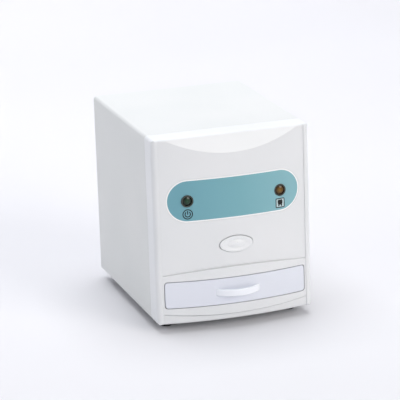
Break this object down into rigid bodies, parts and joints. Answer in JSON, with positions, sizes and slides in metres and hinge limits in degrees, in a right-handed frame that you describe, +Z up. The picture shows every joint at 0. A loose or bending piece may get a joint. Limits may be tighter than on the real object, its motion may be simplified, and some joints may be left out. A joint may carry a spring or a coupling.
{
  "type": "dental x-ray film scanner",
  "caption": "Desktop reader for dental x-ray films: white housing with a convex front, film drawer with bow handle, oval scan button and two indicator lamps",
  "frame": {"origin": "on the resting surface, under the middle of the bounding box from the handle to the rear edge", "axes": "+Z up, -Y to the front with the drawer, +X to the right seen from the front"},
  "size_m": [0.142, 0.1924, 0.173],
  "materials": {
    "bezel_abs": "moulded white ABS, satin gloss",
    "case_abs": "moulded grey-white ABS, fine texture",
    "panel_abs": "moulded light grey ABS",
    "foot_rubber": "dark moulded rubber",
    "screw_steel": "nickel-plated steel",
    "label_film": "teal printed polycarbonate film",
    "lamp_green": "dark green lamp resin",
    "lamp_amber": "amber lamp resin",
    "black_plastic": "black moulded plastic",
    "board_green": "green solder mask on glass-fibre board",
    "board_blue": "blue solder mask on glass-fibre board",
    "rail_zinc": "zinc-plated sheet steel",
    "light_box_white": "white moulded plastic",
    "diffuser_opal": "opal acrylic",
    "standoff_brass": "turned brass",
    "lens_glass": "polished optical glass",
    "can_aluminium": "drawn aluminium can",
    "socket_steel": "nickel-plated shell",
    "drawer_abs": "moulded bluish white ABS",
    "handle_abs": "moulded bluish white ABS, glossier",
    "frame_grey": "dark grey moulded plastic",
    "window_glass": "clear float glass"
  },
  "bodies": {
    "housing": {"front_bezel": "bezel_abs", "case_shell": "case_abs", "rear_panel": "panel_abs", "base_plate": "panel_abs", "foot_front_left": "foot_rubber", "foot_front_right": "foot_rubber", "foot_rear_left": "foot_rubber", "foot_rear_right": "foot_rubber", "foot_screws": "screw_steel", "plate_screws": "screw_steel", "rear_screws": "screw_steel", "indicator_label": "label_film", "power_lamp": "lamp_green", "film_lamp": "lamp_amber", "lamp_rings": "black_plastic", "front_board": "board_green", "front_board_screws": "screw_steel", "switch_body": "black_plastic", "rail_left": "rail_zinc", "rail_right": "rail_zinc", "light_box": "light_box_white", "light_board": "light_box_white", "diffuser_plate": "diffuser_opal", "camera_frame": "rail_zinc", "camera_hood": "black_plastic", "camera_board": "board_blue", "camera_standoffs": "standoff_brass", "camera_screws": "screw_steel", "image_sensor": "black_plastic", "lens_holder": "black_plastic", "lens_barrel": "black_plastic", "lens_glass": "lens_glass", "main_board": "board_green", "board_standoffs": "standoff_brass", "board_screws": "screw_steel", "processor_chip": "black_plastic", "capacitors": "can_aluminium", "drawer_sensor": "black_plastic", "usb_socket": "socket_steel", "power_jack": "black_plastic", "rocker_body": "black_plastic"},
    "drawer": {"drawer_front": "drawer_abs", "drawer_tray": "drawer_abs", "drawer_handle": "handle_abs", "film_frame": "frame_grey", "film_window": "window_glass", "drawer_screws": "screw_steel"},
    "scan_button": {"button_cap": "bezel_abs"},
    "plunger": {"switch_plunger": "drawer_abs"},
    "rocker": {"rocker_key": "black_plastic"}
  },
  "joints": [
    {"name": "drawer_slide", "type": "slide", "parent": "housing", "child": "drawer", "axis": [0, -1, 0], "range_m": [0, 0.09]},
    {"name": "button_press", "type": "slide", "parent": "housing", "child": "scan_button", "axis": [0, 1, 0], "range_m": [0, 0.0012], "stiffness_N_per_m": 300, "springref_m": -0.002},
    {"name": "plunger_press", "type": "slide", "parent": "housing", "child": "plunger", "axis": [0, 1, 0], "range_m": [0, 0.0012]},
    {"name": "rocker_tilt", "type": "hinge", "parent": "housing", "child": "rocker", "pos_m": [0.04, 0.09065, 0.048], "axis": [1, 0, 0], "range_deg": [-16, 0]}
  ],
  "couplings": [
    {"joint": "plunger_press", "follows": "button_press", "ratio": 1}
  ]
}
